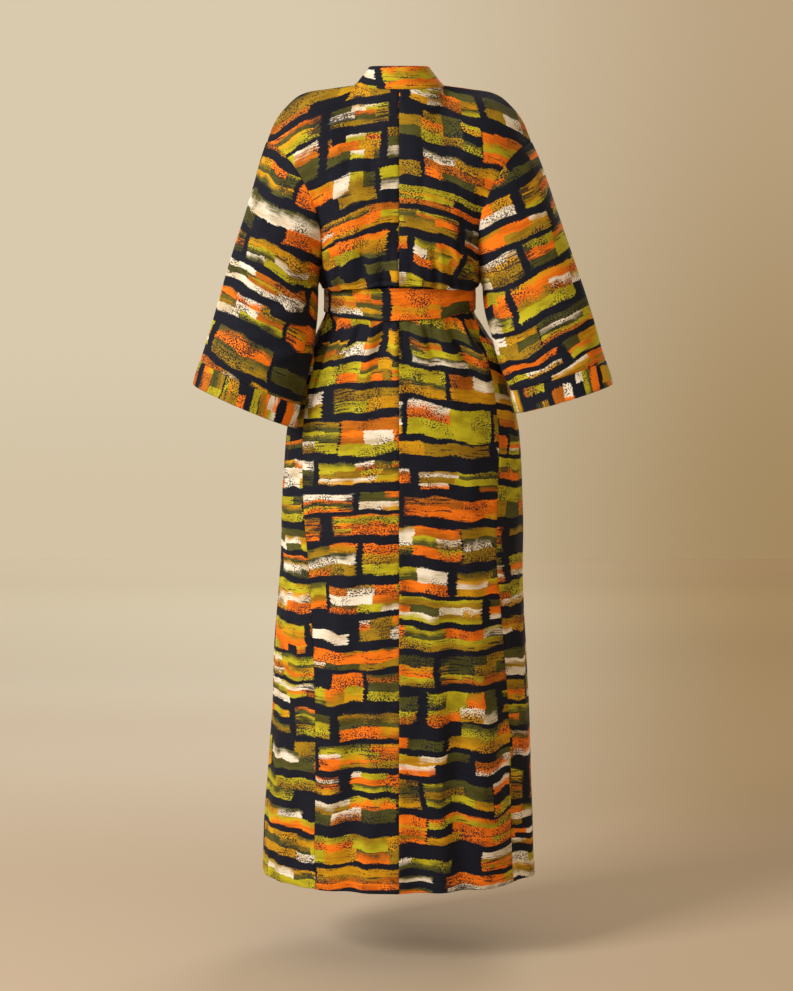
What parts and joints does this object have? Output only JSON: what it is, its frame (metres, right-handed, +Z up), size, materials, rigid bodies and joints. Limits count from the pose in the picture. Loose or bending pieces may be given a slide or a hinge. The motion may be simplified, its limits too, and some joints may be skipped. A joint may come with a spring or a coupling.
{
  "type": "african print kimono",
  "caption": "Full-length wrap kimono robe in a dark brushed-block print, worn, with wide sleeves and a tied belt.",
  "frame": {"origin": "on the centre plane, level with the neck ends of the shoulder seams, where the wearer's shoulders carry the robe", "axes": "+Z up, +Y the way the wearer faces, +X the wearer's right"},
  "size_m": [0.728, 0.3238, 1.4291],
  "materials": {
    "printed_cotton": "smooth printed cotton, one layer, matt with a faint sheen",
    "doubled_bands": "the same printed cotton folded double and pressed"
  },
  "bodies": {
    "root": {"back_left": "printed_cotton", "back_right": "printed_cotton", "front_left": "printed_cotton", "front_right": "printed_cotton", "neckband": "doubled_bands", "sleeve_left": "printed_cotton", "sleeve_right": "printed_cotton", "cuff_left": "doubled_bands", "cuff_right": "doubled_bands", "belt": "doubled_bands", "belt_knot": "doubled_bands", "belt_tail_left": "doubled_bands", "belt_tail_right": "doubled_bands"}
  },
  "joints": []
}
